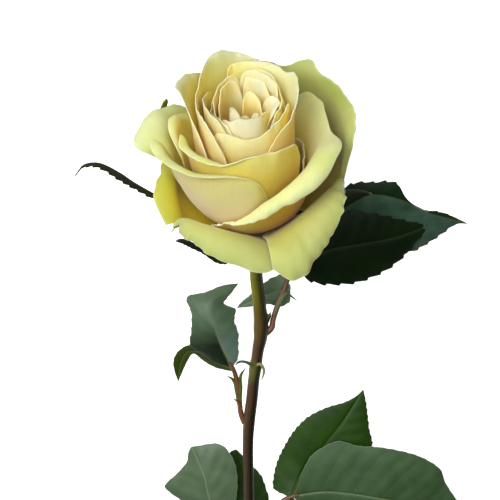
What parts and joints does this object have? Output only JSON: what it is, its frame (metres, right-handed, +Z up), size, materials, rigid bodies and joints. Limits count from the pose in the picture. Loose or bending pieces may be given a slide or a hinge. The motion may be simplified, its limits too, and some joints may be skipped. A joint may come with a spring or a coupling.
{
  "type": "cut rose",
  "caption": "Cut garden rose lying down: an open, layered yellow bloom with sepals on a thorny stem with dark toothed leaves.",
  "frame": {"origin": "middle of the whole rose's box seen from above, at the level of the table that it lies on", "axes": "+Z up from the table; +Y along the stem from the cut end to the bloom; +X to the right, seen from above with the bloom away from the viewer"},
  "size_m": [0.165, 0.4148, 0.0779],
  "materials": {
    "outer_petal": "soft matte petal, greenish pale yellow",
    "inner_petal": "soft matte petal, creamy yellow turning to peach at the base",
    "heart_petal": "soft matte petal, golden yellow",
    "sepal_green": "matte dark green to brown",
    "stem_bark": "smooth satin bark, yellow-green above and purple-brown below",
    "leaf_green": "satin leaf, dark green with a grey-blue sheen"
  },
  "bodies": {
    "root": {"guard_front_left": "outer_petal", "guard_front_right": "outer_petal", "guard_left": "outer_petal", "guard_back_left": "outer_petal", "guard_back_right": "outer_petal", "right_front": "inner_petal", "left_outer": "inner_petal", "back_under": "inner_petal", "back_right_inner": "inner_petal", "front_left": "inner_petal", "left_inner": "inner_petal", "front_second": "inner_petal", "left_tip": "inner_petal", "back_left_tall": "inner_petal", "bud_right": "inner_petal", "bud_left": "inner_petal", "bud_front": "inner_petal", "bud_second": "inner_petal", "bloom_heart": "heart_petal", "sepal_left": "sepal_green", "sepal_lower_left": "sepal_green", "sepal_back_left": "sepal_green", "sepal_right": "sepal_green", "sepal_under": "sepal_green", "stem": "stem_bark", "leaf_upper_right": "leaf_green", "leaf_mid_left": "leaf_green", "leaf_lower_left": "leaf_green", "leaf_lower_right": "leaf_green"}
  },
  "joints": []
}
